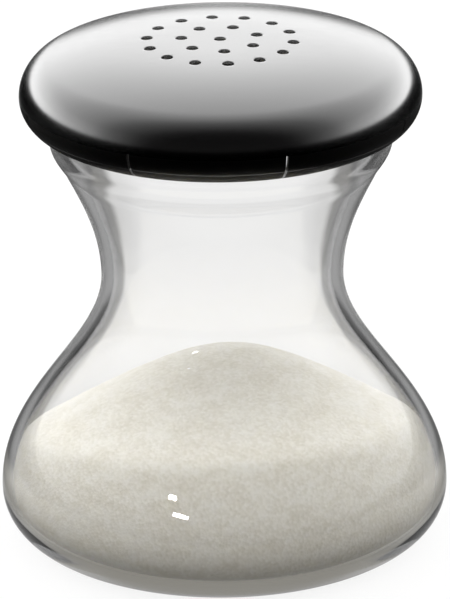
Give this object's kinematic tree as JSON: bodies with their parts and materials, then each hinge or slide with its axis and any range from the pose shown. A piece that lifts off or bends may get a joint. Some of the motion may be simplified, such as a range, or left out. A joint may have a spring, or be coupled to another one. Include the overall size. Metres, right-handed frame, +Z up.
{
  "type": "salt shaker",
  "caption": "Small waisted glass salt shaker with a domed, pierced steel lid that pushes onto the collar of the jar and lifts off for filling.",
  "frame": {"origin": "centre of the foot ring, on the surface that the shaker stands on", "axes": "+Z up along the axis of the jar and the lid, -Y towards the viewer of the picture, +X to the viewer's right"},
  "size_m": [0.0528, 0.0528, 0.06],
  "materials": {
    "clear_glass": "polished",
    "brushed_steel": "satin",
    "table_salt": "matte"
  },
  "bodies": {
    "jar": {"glass_body": "clear_glass", "salt_fill": "table_salt"},
    "lid": {"steel_lid": "brushed_steel"}
  },
  "joints": [
    {"name": "lid_pull", "type": "slide", "parent": "jar", "child": "lid", "axis": [0, 0, 1], "range_m": [0, 0.03]}
  ]
}
